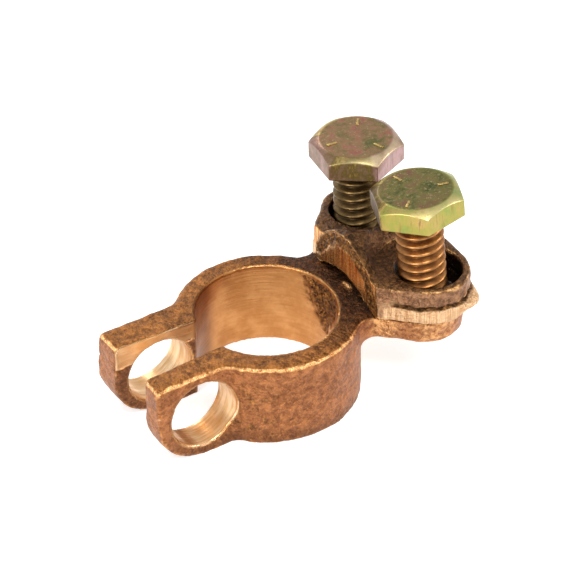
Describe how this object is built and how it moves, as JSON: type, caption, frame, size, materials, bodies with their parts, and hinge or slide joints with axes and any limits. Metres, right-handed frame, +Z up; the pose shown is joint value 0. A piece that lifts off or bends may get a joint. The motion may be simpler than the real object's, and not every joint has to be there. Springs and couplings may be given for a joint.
{
  "type": "battery terminal clamp",
  "caption": "Cast brass battery post clamp with a split ring, two pinch ears and a cable saddle drawn down onto its shelf by hexagon bolts.",
  "frame": {"origin": "on the axis of the post bore, level with the underside of the ring", "axes": "+Z up along the post bore, +X towards the cable saddle, -X towards the split and its ears, -Y the front"},
  "size_m": [0.0452, 0.028, 0.0297],
  "materials": {
    "cast_brass": "as-cast brass with a brown tarnish, bore and ear faces machined bright",
    "saddle_brass": "as-cast brass with a dark tarnish, end face and parting band ground bright",
    "yellow_zinc": "steel with yellow iridescent zinc plating"
  },
  "bodies": {
    "clamp": {"clamp_body": "cast_brass"},
    "saddle": {"cable_saddle": "saddle_brass"},
    "bolt_front": {"saddle_bolt_front": "yellow_zinc"},
    "bolt_back": {"saddle_bolt_back": "yellow_zinc"}
  },
  "joints": [
    {"name": "saddle_lift", "type": "slide", "parent": "clamp", "child": "saddle", "axis": [-0.0324, 0.0518, 0.9981], "range_m": [0, 0.0024]},
    {"name": "bolt_front_travel", "type": "slide", "parent": "saddle", "child": "bolt_front", "axis": [-0.0508, 0.0813, 0.9954], "range_m": [-0.0077, 0.0012]},
    {"name": "bolt_back_travel", "type": "slide", "parent": "saddle", "child": "bolt_back", "axis": [-0.0139, 0.0222, 0.9997], "range_m": [-0.0074, 0.002]}
  ]
}
